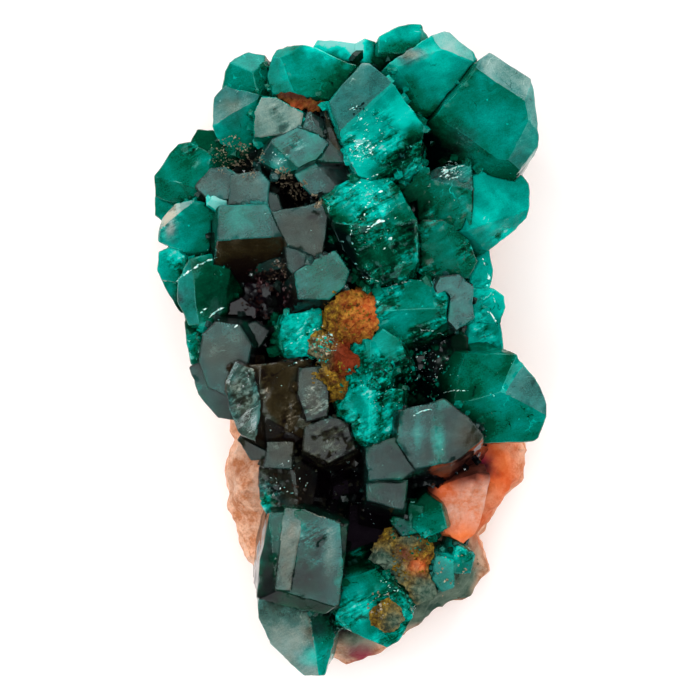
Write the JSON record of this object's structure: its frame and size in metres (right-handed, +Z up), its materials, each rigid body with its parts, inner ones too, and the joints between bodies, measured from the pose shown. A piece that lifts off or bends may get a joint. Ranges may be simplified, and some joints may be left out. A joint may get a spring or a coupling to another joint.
{
  "type": "dioptase on matrix",
  "caption": "Emerald-green dioptase crystals with limonite and a pink calcite block, grown on a flat-cut slab of iron-stained calcite rock; a display mineral specimen.",
  "frame": {"origin": "middle of the sawn face that the specimen lies on", "axes": "+Z up out of the sawn face, through the crystals; +Y along the specimen's length toward its broad, crystal-covered end; +X across it toward the big green crystals at its edge"},
  "size_m": [0.039, 0.065, 0.0252],
  "materials": {
    "dioptase": "clear emerald-green crystal, glassy faces, veils and cleavage cracks inside",
    "dioptase_bright": "fractured, bright blue-green crystal with sparkling cleavage steps",
    "dioptase_smoky": "dark grey-green crystal, flat satin to glassy faces with fine growth lines",
    "limonite": "earthy ochre to red-brown, crumbly and matte",
    "calcite": "pink to salmon cleavage block, waxy, with a few pearly steps",
    "matrix": "granular pale orange calcite rock with rust-red stains, dark where it lies between the crystals"
  },
  "bodies": {
    "root": {"calcite_block": "calcite", "crystal_emerald_block": "dioptase_bright", "crystal_upper_right_outer": "dioptase", "crystal_upper_right_inner": "dioptase", "crystal_top_slab": "dioptase", "crystals_top": "dioptase", "crystals_top_left": "dioptase", "crystals_upper_middle": "dioptase_smoky", "crystals_left_upper": "dioptase", "crystals_left_ledge": "dioptase_smoky", "crystal_cyan_chip": "dioptase_bright", "crystal_trapezoid": "dioptase_smoky", "crystals_left": "dioptase", "crystals_left_lower": "dioptase_smoky", "crystal_olive": "dioptase_smoky", "crystals_centre_left": "dioptase_smoky", "crystal_left_bright": "dioptase_bright", "crystals_cavity": "dioptase_smoky", "crystals_lower_left": "dioptase_smoky", "crystal_centre": "dioptase", "crystal_right_upper": "dioptase", "crystals_right_dark": "dioptase_smoky", "crystal_centre_right": "dioptase", "crystal_grey_right": "dioptase_smoky", "crystals_right_rim": "dioptase_bright", "crystals_turquoise": "dioptase_bright", "crystals_right_cavity": "dioptase_smoky", "crystal_right": "dioptase", "crystals_striped": "dioptase_smoky", "crystals_lower_small": "dioptase", "crystal_lower_prism": "dioptase_smoky", "crystal_bottom": "dioptase", "crystal_bottom_emerald": "dioptase_bright", "crystals_bottom_right": "dioptase", "limonite_centre": "limonite", "limonite_upper": "limonite", "limonite_lower": "limonite", "limonite_bottom": "limonite", "matrix_rock": "matrix"}
  },
  "joints": []
}
